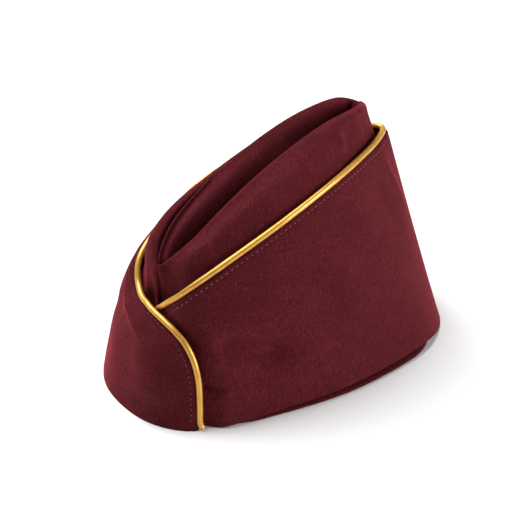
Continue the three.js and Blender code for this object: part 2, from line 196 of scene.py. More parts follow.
# Seams of the crown: how far the cloth is drawn in beside them, and how far from them that reaches
SEAM_DRAW = {"front": 3.4, "back": 0.7}
SEAM_REACH = {"front": 0.8, "back": 1.5}
SEAM_FADE = 4  # millimetres below the crest over which the seam starts to draw the cloth in
WELT_EDGE = {"turns": [0.03, 0.42], "rise": 0.6, "radius": 0.7}  # thin folded edge along the welt
TUCK = {"turn": 0.945, "width": 0.016, "depth": 2.6, "below": 3}  # small fold inside the back

# Stitches
STITCH_PITCH = {"edge": 3.25, "flap": 3.1}
STITCH_LENGTH = 1.3
STITCH_RADIUS = 0.23
STITCH_SIDES = 8
STITCH_SUNK = 0.6  # share of its radius by which a stitch lies in the cloth
# A stitch's outline, in shares of its length and of its radius
STITCH_PROFILE = [(0, 0.3), (0.08, 0.8), (0.25, 1), (0.75, 1), (0.92, 0.8), (1, 0.3)]
STITCH_BELOW = 4.6  # from the centre of the piping to the row of stitches
STITCH_START = {1: 0.07, -1: 0.26}  # turn of the first stitch on the left and on the right
STITCH_END = 0.985
FLAP_STITCH_HEIGHTS = [0.93, 0.02]  # of the first and the last stitch beside the flap's edge
SEAM_DENT = 0.35  # how deep the row of stitches pulls the cloth in
SEAM_DENT_WIDTH = 0.9
PIPING_DENT = 0.8  # and how deep the cloth lies beside the piping

# Mesh steps
CROWN_COLUMNS = 240
LEFT_STEPS = [4, 6, 4, 12, 12, 8, 14, 14, 6, 6, 12, 16]  # rows between the control points of each stretch
EDGE_STRETCHES = len(CROWN_HEIGHTS) - 1  # stretches of the left panel up to the curtain's edge
RIDGE_STRETCHES = EDGE_STRETCHES + 3  # and up to its ridge
GUSSET_STEPS = [14, 14, 10, 8]
GROOVE_STEPS = [8]
RIGHT_STEPS = [6, 10, 12, 14, 8, 12, 12, 4, 6, 4]
CURTAIN_COLUMNS = 260
FLAP_COLUMNS = 90
UNDERLAP_COLUMNS = 24
CURTAIN_ROWS = 100
GUSSET_START = 6  # first column where the gusset is wide enough for its wall
EDGE_ROUNDING = 4  # steps round a cloth edge, an even number
CREST_SMOOTHING = 3  # times that the crown's rows are blended with their neighbours
WALL_SMOOTHING = 40  # and its normals
EDGE_POINTS = 400  # of the piping's route along each half
FLAP_POINTS = 300  # and down the flap
STITCH_POINTS = {"edge": 500, "flap": 400}  # of the routes of the stitches
TURN_STEP = 0.004  # for directions along a ring
HEIGHT_STEP = 0.01  # for directions up the curtain
PIPING_STEP = 0.4
END_BEVEL = 0.5  # rounding of a cord's end, as a share of its radius
PIPING_SIDES = 20
PIPING_SMOOTHING = 50
TUCKED = 0.2  # how far the cloth reaches into the piping

# Camera: where the photograph was taken from
CAMERA_AZIMUTH = math.radians(51.99)
CAMERA_ELEVATION = math.radians(30.066)
CAMERA_DISTANCE = 898.934
CAMERA_ASIDE = [-6.310, 42.924]  # right and up, across the view
CAMERA_LENS = 105.04
SENSOR_WIDTH = 36

# Looks. Sizes and pitches are in metres on the flat cloth, colours are (place, 0 to 255 screen values)
WAVE_PERIOD = math.pi / 10  # length after which a wave texture of scale 1 repeats
WEAVE = {"Distortion": 3, "Detail": 2, "Detail Scale": 0.6}
RIB_PITCH = 0.0010
RIB_ANGLE = math.radians(38)
YARN_PITCH = 0.0007
YARN_ANGLE = math.radians(-48)
HAIR = {"size": 0.0008, "detail": 1, "stretch": (1, 0.2, 1)}
HAIR_FROM = 0.66  # where this noise is higher, a loose hair lies
CLOTH_NOISE = {
    "grain": {"size": 0.0009, "detail": 4},
    "fibres": {"size": 0.0011, "detail": 3, "stretch": (1, 0.3, 1), "angle": RIB_ANGLE},
    "patches": {"size": 0.008, "detail": 4},
    "clouds": {"size": 0.05},
}
CLOTH_TONE = {
    "ribs": 0.04, "yarns": 0.03, "grain": 0.4, "fibres": 0.3, "patches": 0.11, "clouds": 0.12, "hairs": 0.8,
}
CLOTH_RELIEF = {"ribs": 0.15, "yarns": 0.1, "grain": 0.6, "fibres": 0.5, "patches": 0.8}
CLOTH_COLOURS = [(0.3, (54, 14, 18)), (0.5, (81, 23, 29)), (0.68, (112, 40, 47))]
CLOTH_SHEEN = (185, 66, 76)
GOLD_NOISE = {
    "strands": {"size": 0.0005, "stretch": (1, 0.06, 1)},
    "marks": {"size": 0.0006, "stretch": (0.15, 1, 1)},
    "patches": {"size": 0.006, "detail": 3},
}
GOLD_TONE = {"strands": 0.4, "marks": 0.25, "patches": 0.35}
GOLD_RELIEF = {"strands": 0.6, "marks": 0.4}
GOLD_COLOURS = [(0.3, (194, 128, 44)), (0.55, (228, 174, 76)), (0.75, (243, 206, 120))]
PALE_THREAD = (144, 86, 97)
DARK_THREAD = (126, 58, 64)
TWIST_SIZE = 0.0005
TWIST_STOPS = [0.35, 0.65]  # of the noise, from the thread's shade to its colour
TWIST_SHADE = 0.7  # of the thread's colour, between its strands

# Studio: a soft box high at the left of the picture and a low one at its right, in a dim white room
WORLD_STRENGTH = 0.12
FLOOR_SIZE = 8
FLOOR_GREY = 0.94
LIGHT_DISTANCE = 1.6
SOFT_LIGHTS = [
    {"name": "key_box", "azimuth": -76, "elevation": 62, "size": 1.3, "power": 40},
    {"name": "right_box", "azimuth": 128, "elevation": 17, "size": 0.8, "power": 20},
]


def unit(vectors):
    return vectors / np.linalg.norm(vectors, axis=-1, keepdims=True)


def lerp(a, b, share):
    return a + (b - a) * share


def smoothstep(x, low, high):
    t = np.clip((x - low) / (high - low), 0, 1)
    return t * t * (3 - 2 * t)


def spline(points, share, closed=False):
    """A smooth line through points, at shares of the way along it."""
    points = np.asarray(points, float)
    count = len(points)
    place = np.asarray(share, float) * (count if closed else count - 1)
    first = np.floor(place).astype(int)
    if not closed:
        first = np.clip(first, 0, count - 2)
    t = place - first
    if points.ndim > 1:
        t = t[..., None]

    def pick(k):
        return points[(first + k) % count if closed else np.clip(first + k, 0, count - 1)]

    a, b, c, d = pick(-1), pick(0), pick(1), pick(2)
    return b + 0.5 * t * (c - a + t * (2 * a - 5 * b + 4 * c - d + t * (3 * (b - c) + d - a)))


def ring_points(name, lower_right=False):
    """One point of each section, round the left half and back round the right half."""
    def point(row, side):
        out, along, *up = row[name]
        height = up[0] if up else 0
        dip = row["dip"] if lower_right and side < 0 else 0
        return [side * out, along, height - dip]

    left = [point(row, 1) for row in SECTIONS]
    right = [point(row, -1) for row in reversed(SECTIONS[1:-1])]
    return np.array(left + right, float)


RIM_RING = ring_points("rim")
EDGE_RING = ring_points("edge", lower_right=True)
RIDGE_RING = ring_points("ridge")
WELT_RING = ring_points("welt")


def on_ring(ring, turn):
    return spline(ring, (np.asarray(turn, float) / 2) % 1, closed=True)


def tangent(ring, turn):
    return unit(on_ring(ring, turn + TURN_STEP) - on_ring(ring, turn - TURN_STEP))


def outward(turn):
    return unit(np.cross(tangent(RIM_RING, turn), UP))


def column(rows, name, share):
    return spline([row[name] for row in rows], share)


def flap_reach(height):
    place = np.interp(height, FLAP_HEIGHTS, np.linspace(0, 1, len(FLAP_HEIGHTS)))
    return spline(FLAP_REACH, place)


def lap_inset(turn, height):
    """What lies under the flap is set in, and comes out again beside the flap's edge."""
    past_flap = turn - flap_reach(height)
    entering = smoothstep(turn, LAP["start"], LAP["full"])
    end = lerp(LAP["low_end"], LAP["top_end"], np.asarray(height) ** LAP_END_POWER)
    leaving = smoothstep(past_flap, LAP["fade"], end)
    depth = lerp(LAP_INSET["low"], LAP_INSET["top"], smoothstep(height, LAP_TOP_FROM, 1))
    return depth * (entering - leaving)


def curtain_middle(turn, height):
    """Middle of the curtain's wall, without its folds."""
    turn, height = np.broadcast_arrays(np.asarray(turn, float), np.asarray(height, float))
    belly = column(SECTIONS, "belly", np.abs(turn)) * np.sin(np.pi * height)
    flare = column(SECTIONS, "flare", np.abs(turn)) * height**2
    straight = lerp(on_ring(RIM_RING, turn), on_ring(EDGE_RING, turn), height[..., None])
    return straight + outward(turn) * (belly + flare)[..., None]


def folds(turn, height, rows, scale):
    """How far the folds of a piece of cloth stand out at each point."""
    place = np.stack(np.broadcast_arrays(turn, height), axis=-1) * scale
    total = 0
    for row in rows:
        distance, along = from_line(place, np.multiply(row["line"], scale))
        fade = smoothstep(along, 0, FOLD_FADE) * smoothstep(1 - along, 0, FOLD_FADE)
        if row.get("sharp"):
            rounded = np.hypot(distance, CREASE_ROUNDING) - CREASE_ROUNDING
            profile = np.exp(-rounded / row["width"])
        else:
            profile = np.exp(-((distance / row["width"]) ** 2))
        total = total + row["rise"] * fade * profile
    return total


def from_line(place, line):
    """Distance of each place from a line of points, and the share of its length at the nearest point."""
    ways = np.diff(line, axis=0)
    lengths = np.linalg.norm(ways, axis=-1)
    before = np.cumsum(lengths) - lengths
    nearest = np.full(place.shape[:-1], np.inf)
    along = np.zeros_like(nearest)
    for start, way, length, passed in zip(line, ways, lengths, before):
        share = np.clip((place - start) @ way / length**2, 0, 1)
        distance = np.linalg.norm(place - start - share[..., None] * way, axis=-1)
        nearer = distance < nearest
        nearest = np.where(nearer, distance, nearest)
        along = np.where(nearer, passed + share * length, along)
    return nearest, along / lengths.sum()


def between(turn, turns):
    """0 before and after the given turns, and 1 between them."""
    leaving = smoothstep(turn, turns["fade"], turns["end"])
    return smoothstep(turn, turns["start"], turns["full"]) * (1 - leaving)


def curtain_at(turn, height, side):
    """Middle of the left (1) or right (-1) curtain's wall, with its lap and its folds."""
    turn, height = np.broadcast_arrays(np.asarray(turn, float), np.asarray(height, float))
    set_in = lap_inset(turn, height) if side > 0 else np.zeros_like(turn)
    lift = RIM_LIFT + (LEFT_LIFT * between(turn, LIFT_TURNS) if side > 0 else 0)
    out = folds(turn, height, LEFT_FOLDS if side > 0 else RIGHT_FOLDS, FOLD_SCALE) - set_in
    points = curtain_middle(turn, height) + outward(turn) * out[..., None]
    points[..., 2] += (1 - height) * lift - LAP_DROP * height * set_in
    return points


def curtain_normals(turn, height, side):
    across = curtain_at(turn + TURN_STEP, height, side) - curtain_at(turn - TURN_STEP, height, side)
    up = curtain_at(turn, height + HEIGHT_STEP, side) - curtain_at(turn, height - HEIGHT_STEP, side)
    return unit(np.cross(across, up))


def normals_of(grid):
    """Unit normals of a grid of points [column, row], pointing out of the cap."""
    return unit(np.cross(np.gradient(grid, axis=0), np.gradient(grid, axis=1)))


def smoothed(values, times):
    """Values blended with their neighbours along each column, with the end rows kept."""
    values = values.copy()
    for _ in range(times):
        values[:, 1:-1] = 0.5 * values[:, 1:-1] + 0.25 * (values[:, :-2] + values[:, 2:])
    return values


def flat_places(grid):
    """Where each point of a grid lies on the flat cloth, measured along its rows and columns."""
    across = np.linalg.norm(np.diff(grid, axis=0), axis=-1)
    u = np.concatenate([np.zeros((1, grid.shape[1])), np.cumsum(across, axis=0)])
    u -= u[len(u) // 2]
    along = np.linalg.norm(np.diff(grid, axis=1), axis=-1)
    v = np.concatenate([np.zeros((grid.shape[0], 1)), np.cumsum(along, axis=1)], axis=1)
    return np.stack([u, v], axis=-1)


def arc(outer, inner, beyond, steps):
    """Points of a half circle from outer to inner that bulges towards beyond."""
    middle = (outer + inner) / 2
    half = outer - middle
    radius = np.linalg.norm(half, axis=-1, keepdims=True)
    angles = np.linspace(0, np.pi, steps + 2)[1:-1]
    return [middle + math.cos(a) * half + math.sin(a) * radius * beyond for a in angles]


def shell_mesh(name, outer, inner):
    """A closed cloth wall between two grids of points, with rounded edges all round."""
    places = flat_places(outer)
    rows = outer.shape[1]
    top = arc(outer[:, -1], inner[:, -1], unit(outer[:, -1] - outer[:, -2]), EDGE_ROUNDING)
    bottom = arc(inner[:, 0], outer[:, 0], unit(outer[:, 0] - outer[:, 1]), EDGE_ROUNDING)
    loop = np.concatenate(
        [outer, np.stack(top, 1), inner[:, ::-1], np.stack(bottom, 1)], axis=1
    )
    loop_places = np.concatenate(
        [
            places,
            np.repeat(places[:, -1:], EDGE_ROUNDING, axis=1),
            places[:, ::-1],
            np.repeat(places[:, :1], EDGE_ROUNDING, axis=1),
        ],
        axis=1,
    )
    size = loop.shape[1]
    partner = (2 * rows + EDGE_ROUNDING - 1 - np.arange(size)) % size

    def end_loops(last, before):
        middle = (last + last[partner]) / 2
        half = last - middle
        radius = np.linalg.norm(half, axis=-1, keepdims=True)
        beyond = unit((last - before + (last - before)[partner]) / 2)
        return [
            middle + math.cos(a) * half + math.sin(a) * radius * beyond
            for a in np.linspace(0, np.pi / 2, EDGE_ROUNDING // 2 + 2)[1:-1]
        ]

    first_loops = end_loops(loop[0], loop[1])[::-1]
    last_loops = end_loops(loop[-1], loop[-2])
    points = np.concatenate([np.array(first_loops), loop, np.array(last_loops)])
    extra = len(first_loops)
    point_places = np.concatenate(
        [np.repeat(loop_places[:1], extra, 0), loop_places, np.repeat(loop_places[-1:], extra, 0)]
    )
    columns = len(points)

    index = np.arange(columns * size).reshape(columns, size)
    turned = np.roll(index, -1, axis=1)
    faces = [np.stack([index[:-1], index[1:], turned[1:], turned[:-1]], -1).reshape(-1, 4)]
    half_rounding = EDGE_ROUNDING // 2
    around = np.arange(-half_rounding, rows - 1 + half_rounding) % size
    after = (around + 1) % size
    strip = np.stack([around, after, partner[after], partner[around]], -1)
    faces.append(index[0][strip])
    faces.append(index[-1][strip[:, ::-1]])
    return mesh_object(name, points.reshape(-1, 3), np.concatenate(faces), point_places.reshape(-1, 2))


def mesh_object(name, points, faces, places):
    """A smooth mesh object from points in millimetres, with its flat places as UVs in metres."""
    points = points.copy()
    points[:, 2] = np.maximum(points[:, 2], 0)
    corners = points[faces]
    volume = np.einsum("ij,ij->", corners[:, 0], np.cross(corners[:, 1], corners[:, 2]))
    volume += np.einsum("ij,ij->", corners[:, 0], np.cross(corners[:, 2], corners[:, 3]))
    if volume < 0:
        faces = faces[:, ::-1]
    mesh = bpy.data.meshes.new(name)
    mesh.from_pydata((points * MM).tolist(), [], faces.tolist())
    layer = mesh.uv_layers.new(name=UV_NAME)
    loop_points = np.empty(len(mesh.loops), int)
    mesh.loops.foreach_get("vertex_index", loop_points)
    layer.uv.foreach_set("vector", (places[loop_points] * MM).ravel())
    mesh.shade_smooth()
    thing = bpy.data.objects.new(name, mesh)
    bpy.context.scene.collection.objects.link(thing)
    return thing


def off_seam(grid, columns, side):
    """Keeps the given columns of a grid on their own side of the seam plane."""
    grid = grid.copy()
    for i in columns:
        grid[i, :, 0] = side * np.maximum(side * grid[i, :, 0], SEAM_GAP / 2)
    return grid


# Crown

def behind_curtain(share, side):
    """The crown's control points behind the curtain, hem to the curtain's edge."""
    turn = side * share
    stand = column(CROWN_SHAPE, "stand", share)[:, 0 if side > 0 else 1]
    points = []
    for height in CROWN_HEIGHTS:
        set_in = lap_inset(turn, height)
        inset = lerp(HEM_INSET, stand, height) + HOLLOW * math.sin(math.pi * height) + set_in
        if height < HEM_TOP:
            lip = HEM_LIP["inset" if height < LIP_TOP else "behind"]
            inset = lerp(inset, lip, between(turn, LIP_TURNS))
        lowered = UP * LAP_DROP * height * set_in[:, None]
        points.append(curtain_middle(turn, height) - outward(turn) * inset[:, None] - lowered)
    return points


def beside(ring, turn, offsets):
    """Points at [out, up] offsets from a ring."""
    out = unit(np.cross(tangent(ring, turn), UP))
    return on_ring(ring, turn) + out * offsets[:, :1] + UP * offsets[:, 1:]


def centripetal(controls, steps):
    """Points of a smooth line through each column's control points, steps between each two of them."""
    first = 2 * controls[0] - controls[1]
    last = 2 * controls[-1] - controls[-2]
    line = [first, *controls, last]
    points = []
    for k, count in enumerate(steps):
        a, b, c, d = line[k:k + 4]
        gaps = [np.sqrt(np.maximum(np.linalg.norm(q - p, axis=-1, keepdims=True), 1e-3))
                for p, q in ((a, b), (b, c), (c, d))]
        leave = ((b - a) / gaps[0] - (c - a) / (gaps[0] + gaps[1]) + (c - b) / gaps[1]) * gaps[1]
        arrive = ((c - b) / gaps[1] - (d - b) / (gaps[1] + gaps[2]) + (d - c) / gaps[2]) * gaps[1]
        for t in np.arange(count) / count:
            cubic = 2 * t**3 - 3 * t**2
            points.append(
                (cubic + 1) * b + (t**3 - 2 * t**2 + t) * leave - cubic * c + (t**3 - t**2) * arrive
            )
    points.append(controls[-1])
    return np.stack(points, axis=1)


def crown_grid():
    """Outer face of the whole crown: up the left side, down into the pleat, up to the welt and down."""
    share = np.linspace(0, 1, CROWN_COLUMNS + 1)
    hem_to_edge = behind_curtain(share, 1)
    ridge = on_ring(RIDGE_RING, share)
    puff = column(CROWN_SHAPE, "puff", share)[:, None]
    puffed = lerp(hem_to_edge[-1], ridge, PUFF_AT) + unit(outward(share) + UP) * puff
    crest = column(CROWN_SHAPE, "crest", share)[:, None]
    crest_out = beside(RIDGE_RING, share, crest * CREST_OUT)
    crest_in = beside(RIDGE_RING, share, crest * CREST_IN)
    pleat = column(CROWN_SHAPE, "pleat", share)
    fold = ridge + pleat * [-1, 1, -1]
    wall = lerp(ridge, fold, PLEAT_WALL_AT)
    left = centripetal(
        [*hem_to_edge, puffed, crest_out, ridge, crest_in, wall, fold], LEFT_STEPS
    )

    welt = on_ring(WELT_RING, -share)
    inside = [
        beside(WELT_RING, -share, column(CROWN_SHAPE, name, share) * [-1, 1])
        for name in ("fall", "lobe", "beside")
    ]
    gusset = centripetal([fold, *inside, welt], GUSSET_STEPS)
    outside = [
        beside(WELT_RING, -share, column(ROLL_SHAPE, name, share))
        for name in ("groove", "side", "top", "outer")
    ]
    right = centripetal([welt, *outside, *behind_curtain(share, -1)[::-1]], GROOVE_STEPS + RIGHT_STEPS)
    return np.concatenate([left, gusset[:, 1:], right[:, 1:]], axis=1)


def drawn_in(grid, seam, rows):
    """Some rows of a grid with the cloth beside a seam drawn in towards the middle of the cap."""
    part = grid[:, rows]
    crest = part[..., 2].max(axis=1, keepdims=True)
    below = smoothstep(crest - part[..., 2], 0, SEAM_FADE)
    near = np.exp(-((part[..., 0] / SEAM_REACH[seam]) ** 2))
    behind = part[..., 1] > 0
    wanted = behind if seam == "back" else ~behind
    part[..., 1] -= np.sign(part[..., 1]) * SEAM_DRAW[seam] * near * below * wanted


def crown_face():
    """Outer face of the whole crown with its folds and its drawn in seams."""
    grid = smoothed(crown_grid(), CREST_SMOOTHING)
    normals = smoothed(normals_of(grid), WALL_SMOOTHING)
    share = np.linspace(0, 1, CROWN_COLUMNS + 1)[:, None]
    edge_row, ridge_row = sum(LEFT_STEPS[:EDGE_STRETCHES]), sum(LEFT_STEPS[:RIDGE_STRETCHES])
    panel = slice(edge_row, ridge_row + 1)
    level = np.linspace(0, 1, ridge_row - edge_row + 1)[None, :]
    grid[:, panel] += normals[:, panel] * folds(share, level, PANEL_FOLDS, PANEL_SCALE)[..., None]

    fold_row = sum(LEFT_STEPS)
    welt_row = fold_row + sum(GUSSET_STEPS)
    inside = slice(fold_row, welt_row + 1)
    depth = grid[:, welt_row, None, 2] - grid[:, inside, 2]
    tuck = np.exp(-(((share - TUCK["turn"]) / TUCK["width"]) ** 2)) * smoothstep(depth, 0, TUCK["below"])
    grid[:, inside] -= normals[:, inside] * (TUCK["depth"] * tuck)[..., None]

    left, right = slice(0, ridge_row + 1), slice(welt_row, None)
    drawn_in(grid, "front", right)
    drawn_in(grid, "back", left)
    drawn_in(grid, "back", right)
    return grid


def welt_route(face):
    """The line along the crest of the gusset on the right, a little above the cloth."""
    welt_row = sum(LEFT_STEPS) + sum(GUSSET_STEPS)
    first, last = (round(share * CROWN_COLUMNS) for share in WELT_EDGE["turns"])
    return evenly_along(face[first:last, welt_row] + UP * WELT_EDGE["rise"], PIPING_STEP)


def crown_pieces(outer):
    normals = smoothed(normals_of(outer), WALL_SMOOTHING)
    inner = outer - normals * CROWN_CLOTH
    fold_row = sum(LEFT_STEPS)
    groove_row = fold_row + sum(GUSSET_STEPS) + sum(GROOVE_STEPS)
    ends = [0, CROWN_COLUMNS]

    def piece(name, rows, columns, side):
        cut = [grid[columns, rows] for grid in (outer, inner)]
        if side:
            cut = [off_seam(grid, ends, side) for grid in cut]
        return shell_mesh(name, *cut)

    everywhere = slice(None)
    gusset_columns = slice(GUSSET_START, CROWN_COLUMNS)
    return [
        piece("crown_left", slice(0, fold_row + 1), everywhere, 1),
        piece("crown_gusset", slice(fold_row, groove_row + 1), gusset_columns, 0),
        piece("crown_right", slice(groove_row, None), everywhere, -1),
    ]


# Curtain

def curtain_rows():
    """Heights of the curtain's rows, closer together towards both edges."""
    share = np.linspace(0, 1, CURTAIN_ROWS + 1)
    return 0.5 - 0.5 * np.cos(np.pi * share)


def curtain_grid(turns, rows, side):
    """Middle of a curtain's wall on a grid, its top row tucked in under the piping."""
    ruling = on_ring(EDGE_RING, turns) - on_ring(RIM_RING, turns)
    rise = np.linalg.norm(np.cross(ruling, tangent(EDGE_RING, turns)), axis=-1)
    heights = rows * (1 - (PIPING_RADIUS - TUCKED) / rise)
    return curtain_at(turns, heights, side), (1 - heights) * rise


def curtain_shell(name, grid, dent, seam_column, side):
    normals = normals_of(grid)
    outer = grid + normals * (CURTAIN_CLOTH / 2 - dent[..., None])
    inner = grid - normals * CURTAIN_CLOTH / 2
    outer, inner = (off_seam(face, [seam_column], side) for face in (outer, inner))
    return shell_mesh(name, outer, inner)


def seam_dent(distance):
    """How far the cloth is pulled in under the stitches and beside the piping."""
    stitched = SEAM_DENT * np.exp(-(((distance - STITCH_BELOW) / SEAM_DENT_WIDTH) ** 2))
    corded = PIPING_DENT * np.exp(-(((distance - PIPING_RADIUS) / SEAM_DENT_WIDTH) ** 2))
    return stitched + corded


def left_curtain():
    rows = curtain_rows()
    reach = flap_reach(rows)
    under = np.linspace(0, 1, UNDERLAP_COLUMNS + 1)[:-1, None]
    beyond = np.linspace(0, 1, CURTAIN_COLUMNS + 1)[:, None]
    turns = np.concatenate([lerp(LEFT_START, reach, under), lerp(reach, 1.0, beyond)])
    rows = np.broadcast_to(rows, turns.shape)
    grid, from_edge = curtain_grid(turns, rows, 1)
    return curtain_shell("curtain_left_cloth", grid, seam_dent(from_edge), -1, 1)


def right_curtain():
    rows = curtain_rows()
    reach = flap_reach(rows)
    step_length = np.linalg.norm(
        curtain_middle(reach + TURN_STEP, rows) - curtain_middle(reach, rows), axis=-1
    )
    cloth_end = reach - (PIPING_RADIUS - TUCKED) * TURN_STEP / step_length
    behind = np.linspace(0, 1, CURTAIN_COLUMNS + 1)[:-1, None]
    flap = np.linspace(0, 1, FLAP_COLUMNS + 1)[:, None]
    full = np.full_like(reach, LAP["full"])
    turns = np.concatenate([lerp(-np.ones_like(reach), full, behind), lerp(full, cloth_end, flap)])
    rows = np.broadcast_to(rows, turns.shape)
    grid, from_edge = curtain_grid(turns, rows, -1)
    to_flap = (reach - turns) * step_length / TURN_STEP
    from_edge = np.minimum(from_edge, to_flap)
    return curtain_shell("curtain_right_cloth", grid, seam_dent(from_edge), 0, -1)


# Piping and stitches

def lengths_along(points):
    """How far along a polyline each of its points lies."""
    return np.concatenate([[0], np.cumsum(np.linalg.norm(np.diff(points, axis=0), axis=-1))])


def at_lengths(wanted, lengths, values):
    """Values given at lengths along a line, at the wanted lengths."""
    return np.stack([np.interp(wanted, lengths, values[:, k]) for k in range(3)], axis=-1)


def evenly_along(points, step):
    """Points of a polyline at even steps along it."""
    lengths = lengths_along(points)
    wanted = np.linspace(0, lengths[-1], max(2, round(lengths[-1] / step)) + 1)
    return at_lengths(wanted, lengths, points)


def tube_faces(index):
    """Faces of a tube with closed ends between rings of point numbers [ring, side]."""
    sides = index.shape[1]
    turned = np.roll(index, -1, axis=1)
    around = np.stack([index[:-1], index[1:], turned[1:], turned[:-1]], -1).reshape(-1, 4)
    caps = [
        [loop[k - 1], loop[k], loop[sides - 1 - k], loop[sides - k]]
        for loop in (index[0], index[-1][::-1])
        for k in range(1, sides // 2)
    ]
    return np.concatenate([around, np.array(caps)])


def piping_route():
    left = np.linspace(PIPING_START, 1, EDGE_POINTS)
    right = np.linspace(-1, 0, EDGE_POINTS)[1:]
    heights = np.linspace(1, PIPING_END, FLAP_POINTS)[1:]
    set_in = lap_inset(left, 1)[:, None]
    left_edge = on_ring(EDGE_RING, left) - (outward(left) + UP * LAP_DROP) * set_in
    hook = PIPING_HOOK["reach"] * smoothstep(-heights, -PIPING_HOOK["height"], -PIPING_END) ** 2
    flap_edge = curtain_at(flap_reach(heights) + hook, heights, -1)
    route = evenly_along(np.concatenate([left_edge, on_ring(EDGE_RING, right), flap_edge]), PIPING_STEP)
    return smoothed(route[None], PIPING_SMOOTHING)[0]


def tube_mesh(name, route, radius, sides):
    """A tube along a route with rounded ends, whose flat places run round it and along it."""
    along = unit(np.gradient(route, axis=0))
    side = unit(np.cross(along[0], UP))
    frames = []
    for direction in along:
        side = unit(side - direction * (side @ direction))
        frames.append((side, np.cross(direction, side)))
    frames = np.array(frames)
    lengths = lengths_along(route)
    ends = np.minimum(lengths, lengths[-1] - lengths)
    bevel = END_BEVEL * radius
    radii = radius - bevel * (1 - np.sqrt(1 - (1 - np.minimum(ends / bevel, 1)) ** 2))
    angles = np.arange(sides) / sides * 2 * np.pi
    cosines, sines = np.cos(angles)[None, :, None], np.sin(angles)[None, :, None]
    offsets = cosines * frames[:, None, 0] + sines * frames[:, None, 1]
    points = (route[:, None] + offsets * radii[:, None, None]).reshape(-1, 3)
    index = np.arange(len(points)).reshape(-1, sides)
    places = np.stack(np.broadcast_arrays(angles[None, :] * radius, lengths[:, None]), axis=-1)
    return mesh_object(name, points, tube_faces(index), places.reshape(-1, 2))


def stitch_row(name, route, normals, pitch):
    """Small capsules in a row along a route, sunk a little into the cloth."""
    lengths = lengths_along(route)
    angles = np.arange(STITCH_SIDES) / STITCH_SIDES * 2 * np.pi
    points, faces = [], []
    for start in np.arange(0, lengths[-1] - pitch, pitch):
        first, last = at_lengths([start, start + STITCH_LENGTH], lengths, route)
        normal = at_lengths([start + STITCH_LENGTH / 2], lengths, normals)[0]
        direction = unit(last - first)
        across = unit(np.cross(direction, normal))
        normal = np.cross(across, direction)
        index = len(points) + np.arange(len(STITCH_PROFILE) * STITCH_SIDES).reshape(-1, STITCH_SIDES)
        faces.append(tube_faces(index))
        for share, width in STITCH_PROFILE:
            centre = lerp(first, last, share) + normal * STITCH_RADIUS * (width - STITCH_SUNK)
            for angle in angles:
                away = math.cos(angle) * across + math.sin(angle) * normal
                points.append(centre + STITCH_RADIUS * width * away)
    points = np.array(points)
    return mesh_object(name, points, np.concatenate(faces), points[:, 1:])


def edge_stitches():
    """A row of stitches under the piping of each half."""
    rows = []
    for name, side in (("stitches_left", 1), ("stitches_right", -1)):
        turns = side * np.linspace(STITCH_START[side], STITCH_END, STITCH_POINTS["edge"])
        ruling = on_ring(EDGE_RING, turns) - on_ring(RIM_RING, turns)
        rise = np.linalg.norm(np.cross(ruling, tangent(EDGE_RING, turns)), axis=-1)
        rows.append(stitches_on(name, turns, 1 - STITCH_BELOW / rise, side, STITCH_PITCH["edge"]))
    return rows


def stitches_on(name, turns, heights, side, pitch):
    normals = curtain_normals(turns, heights, side)
    route = curtain_at(turns, heights, side) + normals * (CURTAIN_CLOTH / 2 - SEAM_DENT)
    return stitch_row(name, route, normals, pitch)


def flap_stitches():
    heights = np.linspace(*FLAP_STITCH_HEIGHTS, STITCH_POINTS["flap"])
    reach = flap_reach(heights)
    step_length = np.linalg.norm(
        curtain_middle(reach + TURN_STEP, heights) - curtain_middle(reach, heights), axis=-1
    )
    turns = reach - STITCH_BELOW * TURN_STEP / step_length
    return stitches_on("stitches_flap", turns, heights, -1, STITCH_PITCH["flap"])


# Materials

def srgb(red, green, blue):
    """A colour given by its 0 to 255 screen values, as linear light."""
    def linear(value):
        value = value / 255
        return value / 12.92 if value <= 0.04045 else ((value + 0.055) / 1.055) ** 2.4

    return (linear(red), linear(green), linear(blue), 1)


